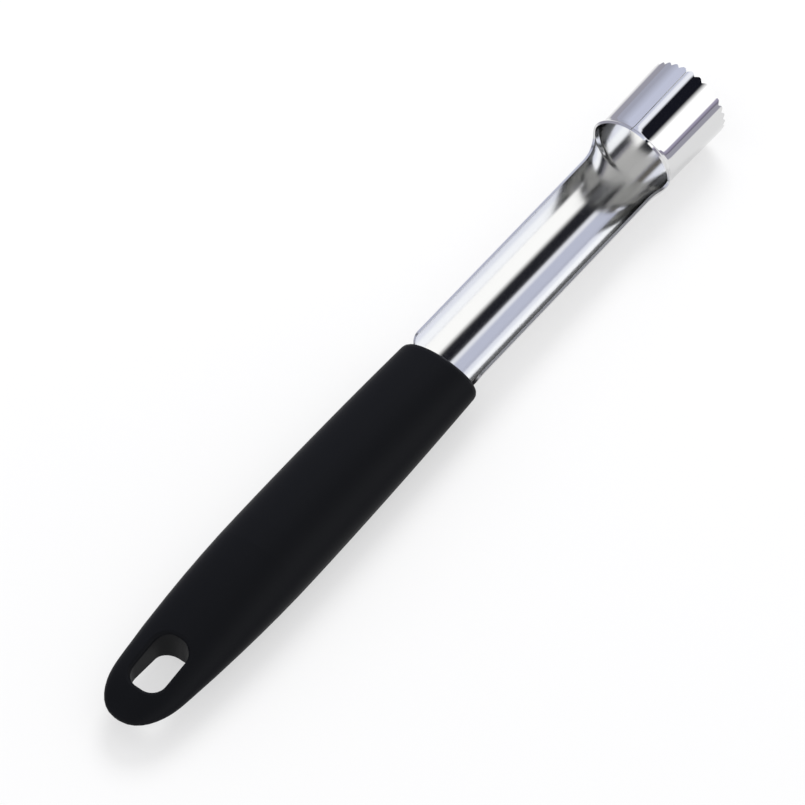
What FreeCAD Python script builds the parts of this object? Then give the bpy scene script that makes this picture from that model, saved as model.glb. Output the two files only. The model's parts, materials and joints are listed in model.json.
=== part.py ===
"""Hand corer for fruit: a formed sheet-steel blade in a moulded handle.

Millimetres. +X runs along the tool from the butt of the handle to the teeth, +Z is up
and z = 0 is the table. The corer lies as it comes to rest, on the belly of its handle
and on the lowest point of its toothed mouth, so the blade slopes down a little to the
front. The pieces are built with x = 0 at the butt and saved about the middle.
"""
import FreeCAD, Part
import math
import os

from FreeCAD import Vector

X_AXIS = Vector(1, 0, 0)
Y_AXIS = Vector(0, 1, 0)

# Whole tool
total_length = 201.7

# Blade, one sheet
sheet = 0.6
tube_diameter = 20.0
tube_length = 21.0
mouth_flare = 0.35
seam_gap = 0.2
tooth_count = 30
tooth_depth = 0.75
tooth_tip = 0.5
shank_radius = 9.5
shank_edge_height = 7.4
ear_spread = 0.7
ear_crown = 0.3
ear_back_reach = 6.0
ear_front_reach = 3.0
ear_corner = 2.2
shoulder_round = 2.8
tang_width = 12.0
tang_length = 60.0

# Handle, one moulding
handle_length = 112.3
belly_from_butt = 51.0
belly_width = 22.6
belly_height = 16.0
butt_width = 15.4
butt_height = 4.5
butt_thinning = 1.25
butt_drop = 0.6
neck_width = 20.4
neck_height = 11.8
butt_round = 12.0
butt_fullness = 2.4
front_edge_round = 1.7
blade_drop = 5.0
slot_from_butt = 7.7
slot_length = 13.8
slot_width = 8.7
slot_corner = 3.6
slot_edge_round = 0.8
slot_margin = 0.7

# Fits
tang_clearance = 0.1
shoulder_clearance = 0.1

# Worked out from the sizes above
tube_radius = tube_diameter / 2
mouth_radius = tube_radius + mouth_flare
rim_x = total_length - tube_length
ear_half_width = tube_radius + ear_spread
ear_half_height = tube_radius + ear_crown
shoulder_x = handle_length + shoulder_clearance
tang_start_x = handle_length - tang_length
handle_axis_z = belly_height / 2
exit_height = handle_axis_z - blade_drop
blade_slope = math.degrees(math.asin(exit_height / (total_length - handle_length)))
mouth_lean = 2 * mouth_radius * math.sin(math.radians(blade_slope))
middle_x = (total_length + mouth_lean) / 2
smooth_start_x = slot_from_butt - slot_edge_round - slot_margin
smooth_end_x = slot_from_butt + slot_length + slot_edge_round + slot_margin
front_round_x = handle_length - front_edge_round

# How finely the lofts are stepped
ear_steps = 5
tip_steps = 6
tip_start = 0.08
slot_steps = 4
grip_steps = 14
front_steps = 4

BEYOND = 50.0
NOT_ROUND = 1e-9
ON_WALL = 0.02


def oval(x, half_width, half_height, centre_z):
    """Closed oval across the tool at x, in quarters, its long axis always sideways."""
    centre = Vector(x, 0, centre_z)
    side = centre + Vector(0, half_width + NOT_ROUND, 0)
    top = centre + Vector(0, 0, half_height)
    ellipse = Part.Ellipse(side, top, centre)
    quarter = math.pi / 2
    return Part.Wire([ellipse.toShape(i * quarter, (i + 1) * quarter) for i in range(4)])


def eased(start, end, share):
    """Smooth step from start to end, level at both ends."""
    return start + (end - start) * (1 - math.cos(math.pi * share)) / 2


def ear_rings(inset):
    """Rings that swell from the shank to the ears and close again to the tube."""
    rings = []
    for i in range(-ear_steps, ear_steps + 1):
        share = 1 - abs(i) / ear_steps
        radius = shank_radius if i < 0 else tube_radius
        half_width = eased(radius, ear_half_width, share) - inset
        half_height = eased(radius, ear_half_height, share) - inset
        centre_z = mouth_flare + inset + half_height
        reach = ear_back_reach if i < 0 else ear_front_reach
        x = rim_x + reach * i / ear_steps
        rings.append(oval(x, half_width, half_height, centre_z))
    return rings


def rolled_core(inset):
    """Solid inside the rolled sheet's outer skin, moved inwards by inset."""
    shank_end = rim_x - ear_back_reach
    tube_start = rim_x + ear_front_reach
    shank = Part.makeCylinder(
        shank_radius - inset, shank_end - tang_start_x,
        Vector(tang_start_x, 0, mouth_flare + shank_radius), X_AXIS)
    ears = Part.makeLoft(ear_rings(inset), True)
    tube = Part.makeCone(
        tube_radius - inset, mouth_radius - inset, total_length - tube_start,
        Vector(tube_start, 0, mouth_radius), X_AXIS)
    return shank, ears, tube


def chord_height(radius, width):
    """Height above a circle's lowest point at which it is as wide as width."""
    return radius - math.sqrt(radius ** 2 - (width / 2) ** 2)


def rounded_profile(points, radii):
    """Closed wire in the XZ plane through points, each corner rounded by its radius."""
    count = len(points)
    corners = []
    for i, point in enumerate(points):
        before = (points[i - 1] - point).normalize()
        after = (points[(i + 1) % count] - point).normalize()
        radius = radii[i]
        if radius == 0:
            corners.append((point, point, None))
            continue
        half_turn = before.getAngle(after) / 2
        reach = radius / math.tan(half_turn)
        centre = point + (before + after).normalize() * (radius / math.sin(half_turn))
        middle = centre + (point - centre).normalize() * radius
        corners.append((point + before * reach, point + after * reach, middle))
    edges = []
    for i, (start, end, middle) in enumerate(corners):
        if middle:
            edges.append(Part.Arc(start, middle, end).toShape())
        edges.append(Part.makeLine(end, corners[(i + 1) % count][0]))
    return Part.Wire(edges)


def sheet_edge_cutter():
    """Everything above the sheet's edge: tang, shoulders, shank, ears and rear rim."""
    tang_edge_z = mouth_flare + chord_height(shank_radius, tang_width)
    shank_edge_z = mouth_flare + shank_edge_height
    top = 2 * ear_half_height + BEYOND
    back = tang_start_x - BEYOND
    points = [
        Vector(back, -BEYOND, tang_edge_z),
        Vector(shoulder_x, -BEYOND, tang_edge_z),
        Vector(shoulder_x, -BEYOND, shank_edge_z),
        Vector(rim_x, -BEYOND, shank_edge_z),
        Vector(rim_x, -BEYOND, top),
        Vector(back, -BEYOND, top),
    ]
    radii = [0, 0, shoulder_round, ear_corner, 0, 0]
    return Part.Face(rounded_profile(points, radii)).extrude(Y_AXIS * 2 * BEYOND)


def tooth_gullets():
    """V-notches round the mouth; the seam falls between two teeth."""
    pitch = 2 * math.pi * mouth_radius / tooth_count
    half_notch = (pitch - tooth_tip) / 2
    root_x = total_length - tooth_depth
    front_x = total_length + tooth_depth
    spread = 2 * half_notch
    reach = 4 * sheet
    low = mouth_radius - reach
    notch = Part.Face(Part.makePolygon([
        Vector(root_x, 0, low),
        Vector(front_x, -spread, low),
        Vector(front_x, spread, low),
        Vector(root_x, 0, low),
    ])).extrude(Vector(0, 0, 2 * reach))
    axis = Vector(0, 0, mouth_radius)
    notch.translate(axis)
    gullets = []
    for i in range(tooth_count):
        gullet = notch.copy()
        gullet.rotate(axis, X_AXIS, 360 * i / tooth_count)
        gullets.append(gullet)
    return gullets


def seam_cutter():
    """Narrow gap where the two edges of the rolled tube meet along its top."""
    return Part.makeBox(
        tube_length + BEYOND, seam_gap, BEYOND,
        Vector(rim_x - ear_back_reach, -seam_gap / 2, mouth_radius))


def lay_on_table(shape):
    """Tip the blade down about its mouth's lowest point, so that it rests there."""
    shape.rotate(Vector(total_length, 0, 0), Y_AXIS, blade_slope)
    return shape


def make_blade():
    stretches = [
        outer.cut(inner)
        for outer, inner in zip(rolled_core(0), rolled_core(sheet))
    ]
    blade = stretches[0].fuse(stretches[1:])
    blade = blade.cut([sheet_edge_cutter(), seam_cutter()] + tooth_gullets())
    return lay_on_table(blade).removeSplitter()


def tang_socket():
    """Pocket for the tang: its own section with clearance all round."""
    start_x = tang_start_x - tang_clearance
    length = handle_length + BEYOND - start_x
    centre = Vector(start_x, 0, mouth_flare + shank_radius)
    outer = Part.makeCylinder(shank_radius + tang_clearance, length, centre, X_AXIS)
    inner = Part.makeCylinder(shank_radius - sheet - tang_clearance, length, centre, X_AXIS)
    half_width = tang_width / 2 + tang_clearance
    window = Part.makeBox(
        length, 2 * half_width, shank_radius + 1,
        Vector(start_x, -half_width, mouth_flare - 1))
    return lay_on_table(outer.cut(inner).common(window))


def bulge(x, belly, butt, neck, taper=2.0):
    """Size of the handle at x: largest at the belly, easing down to both ends."""
    if x < belly_from_butt:
        return belly - (belly - butt) * (1 - x / belly_from_butt) ** taper
    share = (x - belly_from_butt) / (handle_length - belly_from_butt)
    return belly - (belly - neck) * share ** 2


def butt_fade(x):
    """Share of the full section left at x where the butt rounds off."""
    if x >= butt_round:
        return 1.0
    return (1 - (1 - x / butt_round) ** butt_fullness) ** (1 / butt_fullness)


def front_inset(x):
    """How far the rounded front edge has drawn the section in at x."""
    if x <= front_round_x:
        return 0.0
    rise = front_edge_round ** 2 - (x - front_round_x) ** 2
    return front_edge_round - math.sqrt(max(rise, 0.0))


def handle_section(x):
    fade = butt_fade(x)
    inset = front_inset(x)
    half_width = bulge(x, belly_width, butt_width, neck_width) / 2 * fade - inset
    height = bulge(x, belly_height, butt_height, neck_height, butt_thinning)
    half_height = height / 2 * fade - inset
    drop = butt_drop * max(1 - x / belly_from_butt, 0) ** 2
    return oval(x, half_width, half_height, handle_axis_z - drop)


def handle_loft(stations, ruled):
    return Part.makeLoft([handle_section(x) for x in stations], True, ruled)


def quarter_turn(length, share):
    """Distance along a rounded end, close together where it turns fastest."""
    return length * (1 - math.cos(math.pi / 2 * share))


def butt_end():
    """Rounded end of the butt, in fine straight bands."""
    shares = [tip_start + (1 - tip_start) * i / tip_steps for i in range(tip_steps + 1)]
    return handle_loft([quarter_turn(smooth_start_x, share) for share in shares], True)


def slot_stretch():
    """Smooth loft round the hang slot, whose rims need it, divided into short bands."""
    step = (smooth_end_x - smooth_start_x) / slot_steps
    stations = [smooth_start_x + i * step for i in range(slot_steps + 1)]
    loft = handle_loft(stations, False)
    bands = []
    for x in stations[:-1]:
        slab = Part.makeBox(step, 2 * BEYOND, 2 * BEYOND, Vector(x, -BEYOND, -BEYOND))
        bands.append(loft.common(slab))
    return bands


def grip():
    """Long grip and its rounded front edge, in fine straight bands."""
    step = (front_round_x - smooth_end_x) / grip_steps
    stations = [smooth_end_x + i * step for i in range(grip_steps + 1)]
    for i in range(1, front_steps + 1):
        turn = math.pi / 2 * i / front_steps
        stations.append(front_round_x + front_edge_round * math.sin(turn))
    return handle_loft(stations, True)


def hang_slot():
    """Rounded slot through the butt, for a hook."""
    slot = Part.makeBox(
        slot_length, slot_width, 2 * BEYOND,
        Vector(slot_from_butt, -slot_width / 2, -BEYOND))
    corners = [edge for edge in slot.Edges if edge.BoundBox.ZLength > BEYOND]
    return slot.makeFillet(slot_corner, corners)


def on_slot_rim(edge):
    """True for an edge where the slot's wall meets the outside of the handle."""
    middle = edge.valueAt((edge.FirstParameter + edge.LastParameter) / 2)
    off_x = abs(middle.x - slot_from_butt - slot_length / 2) - slot_length / 2 + slot_corner
    off_y = abs(middle.y) - slot_width / 2 + slot_corner
    from_corner = math.hypot(max(off_x, 0.0), max(off_y, 0.0))
    crosswise = edge.BoundBox.ZLength < butt_height / 2
    return crosswise and abs(from_corner - slot_corner) < ON_WALL


def make_handle():
    body = butt_end().fuse(slot_stretch() + [grip()])
    slotted = body.cut(hang_slot())
    rims = [edge for edge in slotted.Edges if on_slot_rim(edge)]
    return slotted.makeFillet(slot_edge_round, rims).cut(tang_socket())


def main():
    os.makedirs("parts", exist_ok=True)
    nodes = {"blade": make_blade(), "handle": make_handle()}
    for name, solid in nodes.items():
        solid.translate(Vector(-middle_x, 0, 0))
        solid.exportStep(f"parts/{name}.step")
        print(name, "solids", len(solid.Solids), "faces", len(solid.Faces),
              "valid", solid.isValid(), "volume", round(solid.Volume, 1))


main()
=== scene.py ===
"""Hand corer lying on a pale table: polished steel blade, moulded black handle.

Metres, in the frame of the solids: +X from the butt to the toothed mouth, z = 0 the table.
"""
import json
import math

import bmesh
import bpy
from mathutils import Matrix, Vector

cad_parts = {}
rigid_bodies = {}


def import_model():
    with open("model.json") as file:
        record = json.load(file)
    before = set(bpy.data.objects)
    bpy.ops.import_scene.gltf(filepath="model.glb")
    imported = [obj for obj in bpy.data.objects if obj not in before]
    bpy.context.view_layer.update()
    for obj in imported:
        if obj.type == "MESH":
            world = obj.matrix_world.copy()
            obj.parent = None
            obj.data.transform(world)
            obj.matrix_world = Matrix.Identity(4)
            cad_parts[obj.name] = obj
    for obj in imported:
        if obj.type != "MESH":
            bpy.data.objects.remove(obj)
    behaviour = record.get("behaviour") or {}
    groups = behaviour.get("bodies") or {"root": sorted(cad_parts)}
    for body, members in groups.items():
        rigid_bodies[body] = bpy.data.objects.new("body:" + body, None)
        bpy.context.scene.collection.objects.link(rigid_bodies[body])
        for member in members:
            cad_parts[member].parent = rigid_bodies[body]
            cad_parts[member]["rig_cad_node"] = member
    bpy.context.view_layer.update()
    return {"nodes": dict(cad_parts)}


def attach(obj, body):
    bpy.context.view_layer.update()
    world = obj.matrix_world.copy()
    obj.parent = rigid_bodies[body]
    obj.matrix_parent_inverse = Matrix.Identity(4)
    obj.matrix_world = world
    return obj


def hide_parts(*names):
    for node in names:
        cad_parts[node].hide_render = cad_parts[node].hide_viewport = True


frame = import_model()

MM = 0.001

# Camera fitted to the outline in the photograph, which is square and which the corer
# crosses from corner to corner
PHOTO_PIXELS = 805
SENSOR_MM = 36.0
FOCAL_PIXELS = 6899.4
CAMERA_DISTANCE = 1.5
CAMERA_AZIMUTH = math.radians(-139.05)
CAMERA_ELEVATION = math.radians(55.18)
CAMERA_ROLL = math.radians(-3.585)
AIM_POINT = Vector((-2.42, 0.37, 10.27)) * MM

# World and key lamp together light a colour so that it renders about as it is written
SURROUND_COLOUR = "#E8E8EA"
SURROUND = 0.95
KEY_POWER = 7.5
KEY_SIZE = 0.7
KEY_PLACE = Vector((0.8, 0.42, 1.0))
WHITE = "#FFFFFF"


def srgb(hex_colour):
    """Linear colour from a hex value as it looks on screen."""
    channels = [int(hex_colour[i:i + 2], 16) / 255 for i in (1, 3, 5)]
    linear = [c / 12.92 if c <= 0.04045 else ((c + 0.055) / 1.055) ** 2.4 for c in channels]
    return (*linear, 1.0)


def add_node(tree, kind, settings=None, **sockets):
    """A node of this kind with its settings, its sockets set or linked; _0 is socket 0."""
    node = tree.nodes.new(kind)
    for name, value in (settings or {}).items():
        setattr(node, name, value)
    for name, value in sockets.items():
        key = int(name[1:]) if name[0] == "_" else name.replace("_", " ")
        socket = node.inputs[key]
        if isinstance(value, bpy.types.NodeSocket):
            tree.links.new(value, socket)
        else:
            socket.default_value = value
    return node


def new_material(name):
    """A material, its node tree and its main shader."""
    material = bpy.data.materials.new(name)
    material.use_nodes = True
    tree = material.node_tree
    return material, tree, tree.nodes["Principled BSDF"]


# Buffing streaks and mould grain are finer than a pixel of the render, so both are drawn
# as coarse as they need to be to show: streaks 0.7 mm wide and 18 mm long, grain 0.3 mm
HAZE_WIDTH = MM / 1.4
HAZE_LENGTH = 25 * HAZE_WIDTH
GRAIN_WIDTH = MM / 3.2
GRAIN_DEPTH = 0.02 * MM

# Stainless steel sheet, buffed along its length after forming. The outside is a mirror
# that shows the studio sharply. The inside, which the mop reaches less, is softer and a
# little darker. The cut edges are only deburred, so they blur what they reflect.
# Each has its name, its colour and the roughness at the clearest and haziest of its streaks
MIRROR_OUTSIDE = ("mirror_polished_stainless_steel", "#D9D9D9", 0.04, 0.07)
SOFT_INSIDE = ("soft_polished_stainless_steel", "#D2D2D1", 0.12, 0.17)
DEBURRED_EDGE = ("deburred_stainless_steel", "#D9D9D9", 0.34, 0.42)


def buffed_stainless_steel(name, colour, least_roughness, most_roughness):
    """Steel whose gloss varies in streaks along the tool."""
    material, tree, shader = new_material(name)
    shader.inputs["Metallic"].default_value = 1.0
    shader.inputs["Base Color"].default_value = srgb(colour)
    place = add_node(tree, "ShaderNodeTexCoord")
    along = add_node(
        tree, "ShaderNodeMapping", Vector=place.outputs["Object"],
        Scale=(HAZE_WIDTH / HAZE_LENGTH, 1.0, 1.0))
    haze = add_node(
        tree, "ShaderNodeTexNoise", Vector=along.outputs["Vector"],
        Scale=1 / HAZE_WIDTH, Detail=3.0, Roughness=0.6)
    gloss = add_node(
        tree, "ShaderNodeMapRange", Value=haze.outputs["Fac"],
        To_Min=least_roughness, To_Max=most_roughness)
    tree.links.new(gloss.outputs["Result"], shader.inputs["Roughness"])
    return material


# Injection-moulded polypropylene: near-black, with the fine grain of a spark-eroded
# mould that breaks the gloss into a soft sheen, and its shine turned down to match
def moulded_polypropylene():
    """Black moulding with a grained skin."""
    material, tree, shader = new_material("moulded_polypropylene")
    shader.inputs["Base Color"].default_value = srgb("#121316")
    shader.inputs["IOR"].default_value = 1.49
    shader.inputs["Specular IOR Level"].default_value = 0.07
    shader.inputs["Roughness"].default_value = 0.48
    place = add_node(tree, "ShaderNodeTexCoord")
    grain = add_node(
        tree, "ShaderNodeTexNoise", Vector=place.outputs["Object"],
        Scale=1 / GRAIN_WIDTH, Detail=2.0, Roughness=0.55)
    relief = add_node(
        tree, "ShaderNodeBump", Strength=0.12, Distance=GRAIN_DEPTH,
        Height=grain.outputs["Fac"])
    tree.links.new(relief.outputs["Normal"], shader.inputs["Normal"])
    return material


def finish_node(node, material):
    """Give a solid its material all over."""
    slots = frame["nodes"][node].data.materials
    for index in range(len(slots)):
        slots[index] = material


# Blade, one sheet: sizes in millimetres, x from the butt, before it is laid on the table;
# a turn is the angle round the tool from the sheet's lowest line
TOTAL_LENGTH = 201.7
MIDDLE_X = 101.198
BLADE_SLOPE = math.radians(1.923)
SHEET = 0.6
SHANK_RADIUS = 9.5
TUBE_RADIUS = 10.0
MOUTH_FLARE = 0.35
# Rear rim of the tube, and the ears beside it, which spread where the sheet was cut
RIM_X = 180.7
EAR_BACK_X = 174.7
EAR_FRONT_X = 182.2
EAR_SPREAD = 0.65
EAR_CROWN = 0.22
EAR_CORNER = 2.2
EAR_TURN = math.radians(88.5)
# Small lip turned out along the rear rim, which fades out towards the ears
LIP_REACH = 0.6
LIP_RISE = 0.24
LIP_BLEND = math.radians(30)
# Half widths of the open sheet as turns, and where along the tool they change
SHANK_TURN = math.radians(77.2)
SHOULDER_X = 112.4
SHOULDER_TURN = math.radians(50.5)
SHOULDER_ROUND = 2.8
TANG_START_X = 52.3
TANG_END_X = 112.3
TANG_TURN = math.radians(39.2)
# Butt seam along the top of the tube, and its toothed mouth
SEAM_GAP = 0.2
TOOTH_COUNT = 30
TOOTH_DEPTH = 0.75
TOOTH_TIP = 0.5
# How finely the sheet is drawn: rows along it at most so many millimetres apart, rows over
# a rounded corner, columns round it, and the reach that joins the shank to the tube
TANG_ROWS = 2.5
SHANK_ROWS = 1.5
EAR_ROWS = 0.4
RIM_ROWS = 0.15
TUBE_ROWS = 1.0
SHOULDER_STEPS = 10
EAR_STEPS = 12
COLUMN_TURN = math.radians(1.5)
JOIN_REACH = 0.01
EDGE_SHARPNESS = math.radians(30)
# A face is a cut edge where it faces outwards or inwards by less than this cosine
SIDE_FACING = 0.5


def ease(share):
    """Smooth step from 0 to 1, level at both ends."""
    return (1 - math.cos(math.pi * min(max(share, 0.0), 1.0))) / 2


def skin(x, turn):
    """Point on the outside of the rolled sheet, at this turn from its lowest line."""
    forming = ease((x - EAR_BACK_X) / (EAR_FRONT_X - EAR_BACK_X))
    opening = MOUTH_FLARE * max(x - EAR_FRONT_X, 0) / (TOTAL_LENGTH - EAR_FRONT_X)
    radius = SHANK_RADIUS + (TUBE_RADIUS - SHANK_RADIUS) * forming + opening
    if x < RIM_X:
        ear = ease((x - EAR_BACK_X) / (RIM_X - EAR_BACK_X)) ** 2
    else:
        ear = ease((EAR_FRONT_X - x) / (EAR_FRONT_X - RIM_X))
    swell = ear * (EAR_SPREAD * math.sin(turn) ** 4 + EAR_CROWN * math.sin(turn / 2) ** 4)
    if RIM_X <= x < RIM_X + LIP_REACH:
        clear_of_ear = ease((abs(turn) - EAR_TURN) / LIP_BLEND)
        swell += LIP_RISE * (1 - (x - RIM_X) / LIP_REACH) ** 2 * clear_of_ear
    reach = radius + swell
    return Vector((
        x, reach * math.sin(turn), MOUTH_FLARE - opening + radius - reach * math.cos(turn)))


def sheet_edge(x):
    """Half of the sheet's width at x, as a turn: tang, rounded shoulder, shank, ear."""
    if x <= TANG_END_X:
        return TANG_TURN
    if x <= SHOULDER_X + SHOULDER_ROUND:
        left = (SHOULDER_X + SHOULDER_ROUND - x) / SHOULDER_ROUND
        return SHOULDER_TURN + (SHANK_TURN - SHOULDER_TURN) * math.sqrt(max(1 - left ** 2, 0))
    if x <= RIM_X - EAR_CORNER:
        return SHANK_TURN
    done = 1 - (RIM_X - x) / EAR_CORNER
    return EAR_TURN - (EAR_TURN - SHANK_TURN) * math.sqrt(max(1 - done ** 2, 0))


def tooth_inset(turn):
    """How far the toothed mouth stands back at this turn; the seam lies in a gullet."""
    pitch = 2 * math.pi / TOOTH_COUNT
    half_tip = TOOTH_TIP / 2 / (TUBE_RADIUS + MOUTH_FLARE)
    from_gullet = (math.pi - turn) % pitch
    off_tip = max(abs(from_gullet - pitch / 2) - half_tip, 0)
    return TOOTH_DEPTH * off_tip / (pitch / 2 - half_tip)


def spaced(start, end, gap):
    """Values from start to end, both included, at most gap apart."""
    count = math.ceil((end - start) / gap)
    return [start + (end - start) * i / count for i in range(count + 1)]


def rounded_steps(start, reach, count):
    """Stations over a rounded corner, close together where it turns fastest."""
    return [start + reach * math.sin(math.pi / 2 * i / count) for i in range(1, count + 1)]


def flat_sheet(shape, stations, columns):
    """Flat grid with a row at each station; yields its vertices with x and share across."""
    rows = len(stations) - 1
    grid = bmesh.ops.create_grid(shape, x_segments=rows, y_segments=columns, size=1.0)
    for vertex in grid["verts"]:
        row = round((vertex.co.x + 1) / 2 * rows)
        yield vertex, stations[row], vertex.co.y


def roll_shank(shape):
    """Tang, shank and ears, rolled into an open trough."""
    shank_start = SHOULDER_X + SHOULDER_ROUND
    shoulder = rounded_steps(SHOULDER_X, SHOULDER_ROUND, SHOULDER_STEPS)
    stations = spaced(TANG_START_X, TANG_END_X, TANG_ROWS)
    stations += [SHOULDER_X + shank_start - x for x in reversed(shoulder)]
    stations += spaced(shank_start, EAR_BACK_X, SHANK_ROWS)
    stations += spaced(EAR_BACK_X, RIM_X - EAR_CORNER, EAR_ROWS)[1:]
    stations += rounded_steps(RIM_X - EAR_CORNER, EAR_CORNER, EAR_STEPS)
    columns = 2 * round(EAR_TURN / COLUMN_TURN)
    for vertex, x, share in flat_sheet(shape, stations, columns):
        vertex.co = skin(x, share * sheet_edge(x))


def roll_tube(shape):
    """Tube with its seam along the top and its toothed mouth."""
    seam_turn = math.pi - SEAM_GAP / 2 / TUBE_RADIUS
    stations = spaced(RIM_X, EAR_FRONT_X, RIM_ROWS)
    stations += spaced(EAR_FRONT_X, TOTAL_LENGTH - TOOTH_DEPTH, TUBE_ROWS)[1:-1]
    stations += [TOTAL_LENGTH]
    columns = round(2 * math.pi / COLUMN_TURN)
    for vertex, x, share in flat_sheet(shape, stations, columns):
        turn = min(max(share * math.pi, -seam_turn), seam_turn)
        if x == TOTAL_LENGTH:
            x -= tooth_inset(turn)
        vertex.co = skin(x, turn)


def mark_finishes(shape):
    """Number the faces by finish: 0 the outside, 1 the inside, 2 the cut edges."""
    for face in shape.faces:
        centre = face.calc_center_median()
        outwards = Vector((0, centre.y, centre.z - TUBE_RADIUS - MOUTH_FLARE)).normalized()
        facing = face.normal.dot(outwards)
        if facing < -SIDE_FACING:
            face.material_index = 1
        elif facing < SIDE_FACING:
            face.material_index = 2


def add_blade(outside, inside, cut_edge):
    """One sheet: rolled up flat side by side, given its thickness and laid on the table."""
    shape = bmesh.new()
    roll_shank(shape)
    roll_tube(shape)
    bmesh.ops.remove_doubles(shape, verts=shape.verts, dist=JOIN_REACH)
    bmesh.ops.recalc_face_normals(shape, faces=shape.faces)
    lowest = min(shape.faces, key=lambda face: face.calc_center_median().z)
    if lowest.normal.z > 0:
        bmesh.ops.reverse_faces(shape, faces=shape.faces)
    bmesh.ops.solidify(shape, geom=shape.faces, thickness=SHEET)
    bmesh.ops.recalc_face_normals(shape, faces=shape.faces)
    mark_finishes(shape)
    pivot = Vector((TOTAL_LENGTH, 0, 0))
    bmesh.ops.rotate(
        shape, verts=shape.verts, cent=pivot, matrix=Matrix.Rotation(BLADE_SLOPE, 3, "Y"))
    bmesh.ops.translate(shape, verts=shape.verts, vec=Vector((-MIDDLE_X, 0, 0)))
    bmesh.ops.scale(shape, verts=shape.verts, vec=Vector((MM, MM, MM)))
    mesh = bpy.data.meshes.new("blade_sheet")
    shape.to_mesh(mesh)
    shape.free()
    mesh.shade_smooth()
    mesh.set_sharp_from_angle(angle=EDGE_SHARPNESS)
    for material in (outside, inside, cut_edge):
        mesh.materials.append(material)
    piece = bpy.data.objects.new("blade_sheet", mesh)
    bpy.context.scene.collection.objects.link(piece)
    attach(piece, "root")
    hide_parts("blade")


def camera_axes():
    """Unit vectors to the camera's right, up and back."""
    back = Vector((
        math.cos(CAMERA_ELEVATION) * math.cos(CAMERA_AZIMUTH),
        math.cos(CAMERA_ELEVATION) * math.sin(CAMERA_AZIMUTH),
        math.sin(CAMERA_ELEVATION)))
    level_right = Vector((0, 0, 1)).cross(back).normalized()
    level_up = back.cross(level_right)
    right = level_right * math.cos(CAMERA_ROLL) + level_up * math.sin(CAMERA_ROLL)
    return right, back.cross(right), back


def add_camera():
    """Camera of the photograph."""
    right, up, back = camera_axes()
    data = bpy.data.cameras.new("camera")
    data.sensor_width = SENSOR_MM
    data.lens = FOCAL_PIXELS * SENSOR_MM / PHOTO_PIXELS
    camera = bpy.data.objects.new("camera", data)
    turn = Matrix((right, up, back)).transposed()
    camera.matrix_world = Matrix.LocRotScale(
        AIM_POINT + back * CAMERA_DISTANCE, turn.to_quaternion(), None)
    bpy.context.scene.collection.objects.link(camera)
    bpy.context.scene.camera = camera


def flat_panel(name, corners, material):
    """One flat face through its corners, with its material."""
    shape = bmesh.new()
    shape.faces.new([shape.verts.new(corner) for corner in corners])
    mesh = bpy.data.meshes.new(name)
    shape.to_mesh(mesh)
    shape.free()
    mesh.materials.append(material)
    panel = bpy.data.objects.new(name, mesh)
    bpy.context.scene.collection.objects.link(panel)


TABLE_REACH = 6.0
# Share of the table that is plain white to the camera and in reflections; the rest is lit
BACKDROP_SHARE = 0.55
# In the steel the table is white beside the tool; further out it shows a painted reflection, a
# glowing grey that only glossy rays see
WHITE_HALF_WIDTH = 42 * MM
WHITE_SHIFT = 15 * MM
GREY_BLEND = 20 * MM
PAINTED_REFLECTION_GREY = "#B0AFBC"


def add_table():
    """Table that fills every view: lit, so that it holds the shadow, part plain white, and
    painted grey in reflections further out.
    """
    material, tree, shader = new_material("pale_table")
    shader.inputs["Base Color"].default_value = srgb("#FAFAFA")
    shader.inputs["Roughness"].default_value = 0.9
    shader.inputs["Specular IOR Level"].default_value = 0.0
    rays = add_node(tree, "ShaderNodeLightPath")
    eye = add_node(
        tree, "ShaderNodeMath", {"operation": "MAXIMUM"},
        _0=rays.outputs["Is Camera Ray"], _1=rays.outputs["Is Glossy Ray"])
    share = add_node(
        tree, "ShaderNodeMath", {"operation": "MULTIPLY"},
        _0=eye.outputs["Value"], _1=BACKDROP_SHARE)
    white = add_node(tree, "ShaderNodeEmission", Color=srgb(WHITE), Strength=1.0)
    either = add_node(
        tree, "ShaderNodeMixShader", Fac=share.outputs["Value"],
        _1=shader.outputs["BSDF"], _2=white.outputs["Emission"])
    place = add_node(tree, "ShaderNodeTexCoord")
    axes = add_node(tree, "ShaderNodeSeparateXYZ", Vector=place.outputs["Object"])
    shifted = add_node(
        tree, "ShaderNodeMath", {"operation": "ADD"}, _0=axes.outputs["Y"], _1=WHITE_SHIFT)
    aside = add_node(
        tree, "ShaderNodeMath", {"operation": "ABSOLUTE"}, _0=shifted.outputs["Value"])
    beyond = add_node(
        tree, "ShaderNodeMapRange", {"interpolation_type": "SMOOTHSTEP"},
        Value=aside.outputs["Value"], From_Min=WHITE_HALF_WIDTH,
        From_Max=WHITE_HALF_WIDTH + GREY_BLEND)
    # Painted reflection: beyond the white band glossy rays see the table as a glowing grey
    greyed = add_node(
        tree, "ShaderNodeMath", {"operation": "MULTIPLY"},
        _0=beyond.outputs["Result"], _1=rays.outputs["Is Glossy Ray"])
    grey = add_node(tree, "ShaderNodeEmission", Color=srgb(PAINTED_REFLECTION_GREY), Strength=1.0)
    surface = add_node(
        tree, "ShaderNodeMixShader", Fac=greyed.outputs["Value"],
        _1=either.outputs["Shader"], _2=grey.outputs["Emission"])
    tree.links.new(surface.outputs["Shader"], tree.nodes["Material Output"].inputs["Surface"])
    flat_panel("table", [
        (-TABLE_REACH, -TABLE_REACH, 0), (TABLE_REACH, -TABLE_REACH, 0),
        (TABLE_REACH, TABLE_REACH, 0), (-TABLE_REACH, TABLE_REACH, 0)], material)
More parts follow.
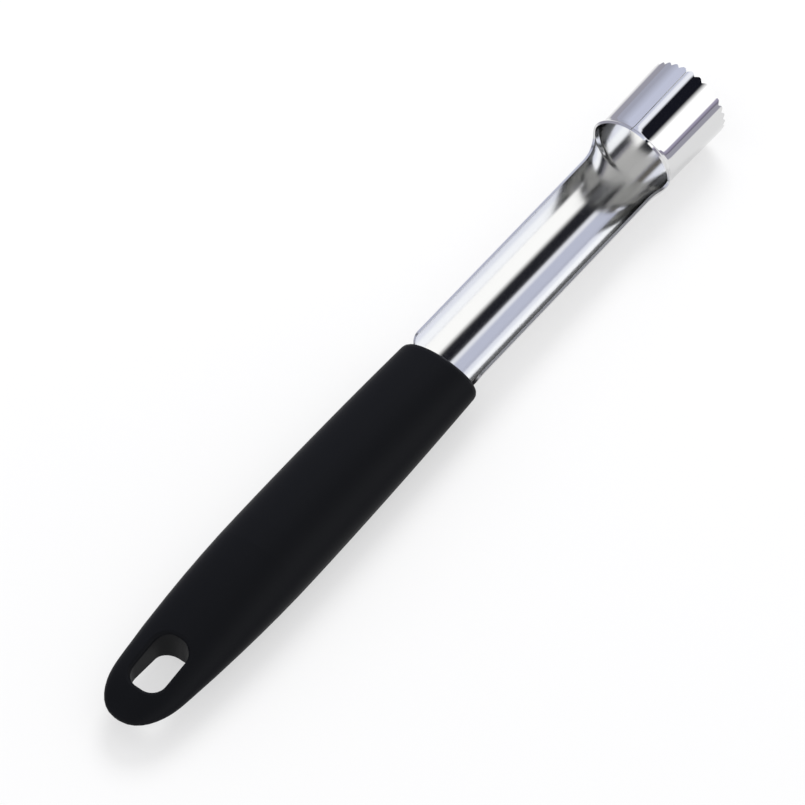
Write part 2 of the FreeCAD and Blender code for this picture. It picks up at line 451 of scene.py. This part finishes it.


# Painted reflections for the polished steel: a sky that only glossy rays see and that lights
# nothing. Its bands stand for a soft box, a black flag, a strip light and walls that are not in
# the scene. By direction across the tool, each band gives the colour that the steel shows, from
# and to these degrees from straight up towards +Y; neighbours blend into each other
SHADED_SKIRTING = ("#6A6674", -180, -88)
PAINTED_LOWER_WALL = ("#9590A4", -84, -80)
PAINTED_SOFT_BOX = ("#FFFFFF", -77, -38)
PAINTED_BLACK_FLAG = ("#13141C", -26, 3)
PAINTED_STRIP_LIGHT = ("#E4E6EE", 8, 16)
PAINTED_PALE_WALL = ("#B9BDD0", 21, 48)
PAINTED_WALL_FOOT = ("#9B9DAC", 75, 180)
PAINTED_STUDIO = [SHADED_SKIRTING, PAINTED_LOWER_WALL, PAINTED_SOFT_BOX, PAINTED_BLACK_FLAG, PAINTED_STRIP_LIGHT, PAINTED_PALE_WALL, PAINTED_WALL_FOOT]
# Painted reflections of the steel itself: bands coloured like what the steel shows of itself, in
# the sky that the second and later reflections see
PAINTED_INNER_REFLECTION = [
    ("#54504A", -180, -60), ("#E0E3F0", -54, -12), ("#F7F9FF", 4, 50), ("#1E1F26", 58, 98),
    ("#5E5A52", 110, 180)]
# Brightness of these painted skies at the first, the second and any later reflection
STEEL_GAIN = 1.5
SECOND_GAIN = 2.4
LATER_GAIN = 0.4
# Ray Depth counts one more in the world than the reflections, and the half parts two counts
WORLD_DEPTH = 1.5
# Painted shade: a dark patch in the sky that only glossy rays see, over the butt on the side
# away from the painted soft box. It darkens the reflections on the handle's butt, and no panel
# is there. As parts of a direction of length 1: its middle along the tool, how far from there it
# is whole and how far it ends, and across the tool where it starts and where it is whole
PAINTED_BUTT_SHADE = "#0C0D10"
BUTT_SHADE_MIDDLE = -0.12
BUTT_SHADE_WHOLE = 0.12
BUTT_SHADE_END = 0.3
BUTT_SHADE_START_Y = -0.4
BUTT_SHADE_WHOLE_Y = 0.0


def banded_sky(tree, angle, parts):
    """Colour by angle across the tool, level over each part and blended between them."""
    ramp = add_node(tree, "ShaderNodeValToRGB", Fac=angle)
    steps = ramp.color_ramp.elements
    while len(steps) < 2 * len(parts):
        steps.new(0.5)
    ends = [(colour, degrees) for colour, start, end in parts for degrees in (start, end)]
    for step, (colour, degrees) in zip(steps, ends):
        step.position = degrees / 360 + 0.5
        step.color = srgb(colour)
    return ramp.outputs["Color"]


def add_studio():
    """Even light all round; a painted studio by direction and painted shade over the butt, both
    for glossy rays only; white for the camera.
    """
    world = bpy.data.worlds.new("studio")
    world.use_nodes = True
    tree = world.node_tree
    tree.nodes.clear()
    rays = add_node(tree, "ShaderNodeLightPath")
    place = add_node(tree, "ShaderNodeTexCoord")
    axes = add_node(tree, "ShaderNodeSeparateXYZ", Vector=place.outputs["Generated"])
    across = add_node(
        tree, "ShaderNodeMath", {"operation": "ARCTAN2"},
        _0=axes.outputs["Y"], _1=axes.outputs["Z"])
    angle = add_node(
        tree, "ShaderNodeMapRange", Value=across.outputs["Value"],
        From_Min=-math.pi, From_Max=math.pi).outputs["Result"]
    second, later = [
        add_node(
            tree, "ShaderNodeMath", {"operation": "GREATER_THAN"},
            _0=rays.outputs["Ray Depth"], _1=reflections + WORLD_DEPTH)
        for reflections in (1, 2)]
    # Painted reflections: the banded studio at the first reflection, the painted inner
    # reflection after it
    first_sky = add_node(
        tree, "ShaderNodeBackground", Color=banded_sky(tree, angle, PAINTED_STUDIO),
        Strength=STEEL_GAIN)
    inner = banded_sky(tree, angle, PAINTED_INNER_REFLECTION)
    second_sky = add_node(tree, "ShaderNodeBackground", Color=inner, Strength=SECOND_GAIN)
    later_sky = add_node(tree, "ShaderNodeBackground", Color=inner, Strength=LATER_GAIN)
    surround = add_node(
        tree, "ShaderNodeBackground", Color=srgb(SURROUND_COLOUR), Strength=SURROUND)
    backdrop = add_node(tree, "ShaderNodeBackground", Color=srgb(WHITE), Strength=1.0)
    sky = add_node(
        tree, "ShaderNodeMixShader", Fac=second.outputs["Value"],
        _1=first_sky.outputs["Background"], _2=second_sky.outputs["Background"])
    sky = add_node(
        tree, "ShaderNodeMixShader", Fac=later.outputs["Value"],
        _1=sky.outputs["Shader"], _2=later_sky.outputs["Background"])
    # Painted shade over the butt, mixed into what glossy rays see
    offset = add_node(
        tree, "ShaderNodeMath", {"operation": "SUBTRACT"}, _0=axes.outputs["X"], _1=BUTT_SHADE_MIDDLE)
    distance = add_node(
        tree, "ShaderNodeMath", {"operation": "ABSOLUTE"}, _0=offset.outputs["Value"])
    backwards = add_node(
        tree, "ShaderNodeMapRange", {"interpolation_type": "SMOOTHSTEP"},
        Value=distance.outputs["Value"], From_Min=BUTT_SHADE_END, From_Max=BUTT_SHADE_WHOLE)
    sideways = add_node(
        tree, "ShaderNodeMapRange", {"interpolation_type": "SMOOTHSTEP"},
        Value=axes.outputs["Y"], From_Min=BUTT_SHADE_START_Y, From_Max=BUTT_SHADE_WHOLE_Y)
    darkness = add_node(
        tree, "ShaderNodeMath", {"operation": "MULTIPLY"},
        _0=backwards.outputs["Result"], _1=sideways.outputs["Result"])
    panel = add_node(tree, "ShaderNodeBackground", Color=srgb(PAINTED_BUTT_SHADE), Strength=1.0)
    sky = add_node(
        tree, "ShaderNodeMixShader", Fac=darkness.outputs["Value"],
        _1=sky.outputs["Shader"], _2=panel.outputs["Background"])
    sky = add_node(
        tree, "ShaderNodeMixShader", Fac=rays.outputs["Is Glossy Ray"],
        _1=surround.outputs["Background"], _2=sky.outputs["Shader"])
    sky = add_node(
        tree, "ShaderNodeMixShader", Fac=rays.outputs["Is Camera Ray"],
        _1=sky.outputs["Shader"], _2=backdrop.outputs["Background"])
    add_node(tree, "ShaderNodeOutputWorld", Surface=sky.outputs["Shader"])
    bpy.context.scene.world = world


def add_key_lamp():
    """Soft lamp beyond the mouth, turned to the tool; nothing mirrors it."""
    key = bpy.data.lights.new("key", "AREA")
    key.shape = "DISK"
    key.size = KEY_SIZE
    key.energy = KEY_POWER
    lamp = bpy.data.objects.new("key", key)
    lamp.matrix_world = Matrix.LocRotScale(
        KEY_PLACE, KEY_PLACE.to_track_quat("Z", "Y"), None)
    lamp.visible_glossy = False
    bpy.context.scene.collection.objects.link(lamp)


# The default cube, lamp and camera go, and the solids stay
for leftover in list(bpy.data.objects):
    if leftover.type in {"MESH", "LIGHT", "CAMERA"} and "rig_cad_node" not in leftover:
        bpy.data.objects.remove(leftover)

bpy.context.scene.view_settings.view_transform = "Standard"
add_camera()
add_table()
add_studio()
add_key_lamp()
add_blade(
    buffed_stainless_steel(*MIRROR_OUTSIDE),
    buffed_stainless_steel(*SOFT_INSIDE),
    buffed_stainless_steel(*DEBURRED_EDGE))
finish_node("handle", moulded_polypropylene())
